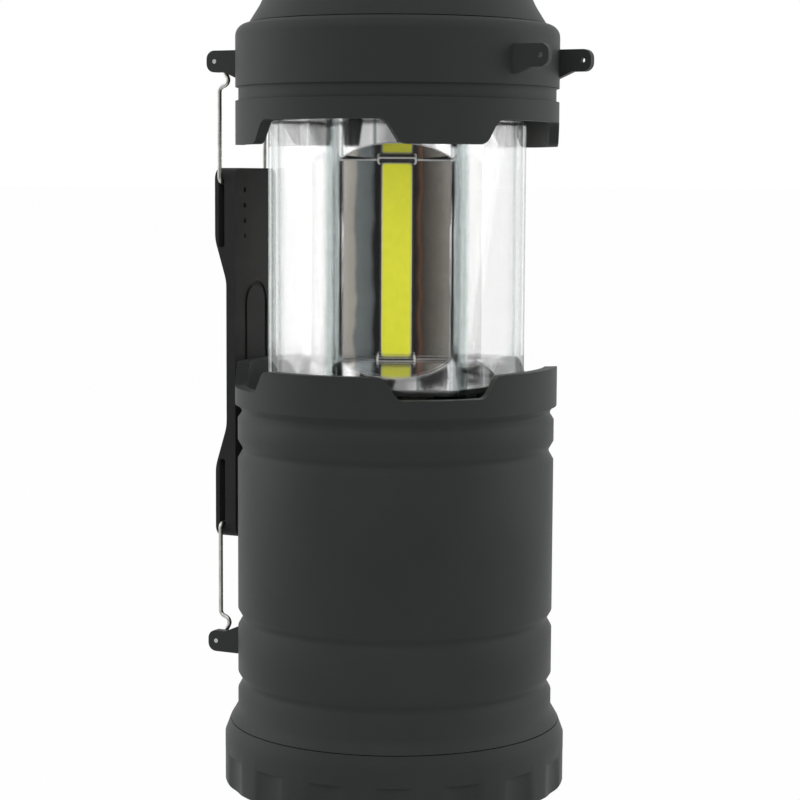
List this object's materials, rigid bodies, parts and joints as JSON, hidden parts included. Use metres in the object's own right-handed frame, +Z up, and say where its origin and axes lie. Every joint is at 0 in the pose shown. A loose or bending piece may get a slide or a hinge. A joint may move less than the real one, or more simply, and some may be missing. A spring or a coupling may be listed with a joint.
{
  "type": "camping lantern",
  "caption": "Pop-up camping lantern: dark round body with screw base, sliding head with clear six-sided wall and mirrored light column, and a side strap on wire bails.",
  "frame": {"origin": "middle of the foot that it stands on", "axes": "+Z up along the lantern's axis, -Y the front as pictured, +X to its right"},
  "size_m": [0.103, 0.092, 0.2155],
  "materials": {
    "shell_plastic": "moulded, fine matte grain",
    "inner_plastic": "moulded, plain",
    "steel": "drawn wire and screw steel",
    "contact_brass": "stamped",
    "cell_jacket": "printed jacket, plain",
    "clear_acrylic": "clear, polished",
    "bright_plating": "plastic with bright metal plating",
    "light_board": "white coated board",
    "phosphor": "yellow phosphor in clear resin",
    "strap_rubber": "soft, matte",
    "seal_rubber": "soft, matte",
    "circuit_board": "coated board",
    "board_parts": "moulded"
  },
  "bodies": {
    "housing": {"body_shell": "shell_plastic", "guide_collar": "inner_plastic", "battery_tray": "inner_plastic", "tray_screws": "steel", "contact_rails": "contact_brass", "battery_1": "cell_jacket", "battery_2": "cell_jacket", "battery_3": "cell_jacket", "negative_springs": "steel", "positive_contacts": "contact_brass", "driver_board": "circuit_board", "board_parts": "board_parts"},
    "head": {"cap_shell": "shell_plastic", "cap_dome": "shell_plastic", "head_plate": "inner_plastic", "cap_screws": "steel", "clear_sleeve": "clear_acrylic", "slider_ring": "inner_plastic", "contact_brushes": "contact_brass", "reflector_column": "bright_plating", "cob_board_1": "light_board", "cob_board_2": "light_board", "cob_board_3": "light_board", "cob_phosphor_1": "phosphor", "cob_phosphor_2": "phosphor", "cob_phosphor_3": "phosphor", "upper_reflector_plate": "bright_plating", "lower_reflector_plate": "bright_plating", "column_nut": "steel"},
    "upper_bail": {"upper_bail": "steel"},
    "strap": {"strap": "strap_rubber"},
    "lower_bail": {"lower_bail": "steel"},
    "base_plate": {"pressure_plate": "inner_plastic", "base_seal": "seal_rubber"},
    "base": {"base_cap": "shell_plastic"}
  },
  "joints": [
    {"name": "head_slide", "type": "slide", "parent": "housing", "child": "head", "axis": [0, 0, -1], "range_m": [0, 0.0635]},
    {"name": "upper_bail_swing", "type": "hinge", "parent": "head", "child": "upper_bail", "pos_m": [-0.04242, 0.02115, 0.1938], "axis": [0.4462, 0.8949, 0], "range_deg": [0, 80.5]},
    {"name": "strap_level", "type": "hinge", "parent": "upper_bail", "child": "strap", "pos_m": [-0.04269, 0.02128, 0.1614], "axis": [-0.4462, -0.8949, 0], "range_deg": [0, 80.5]},
    {"name": "lower_bail_swing", "type": "hinge", "parent": "housing", "child": "lower_bail", "pos_m": [-0.04242, 0.02115, 0.0357], "axis": [-0.4462, -0.8949, 0], "range_deg": [0, 80.5]},
    {"name": "base_drop", "type": "slide", "parent": "housing", "child": "base_plate", "axis": [0, 0, -1], "range_m": [0, 0.006]},
    {"name": "base_turn", "type": "hinge", "parent": "base_plate", "child": "base", "pos_m": [0, 0, 0], "axis": [0, 0, -1], "range_deg": [0, 721]}
  ],
  "couplings": [
    {"joint": "upper_bail_swing", "follows": "head_slide", "rad_per_m": 21.988},
    {"joint": "strap_level", "follows": "head_slide", "rad_per_m": 21.988},
    {"joint": "lower_bail_swing", "follows": "head_slide", "rad_per_m": 21.988},
    {"joint": "base_turn", "follows": "base_drop", "rad_per_m": 2094.4}
  ]
}
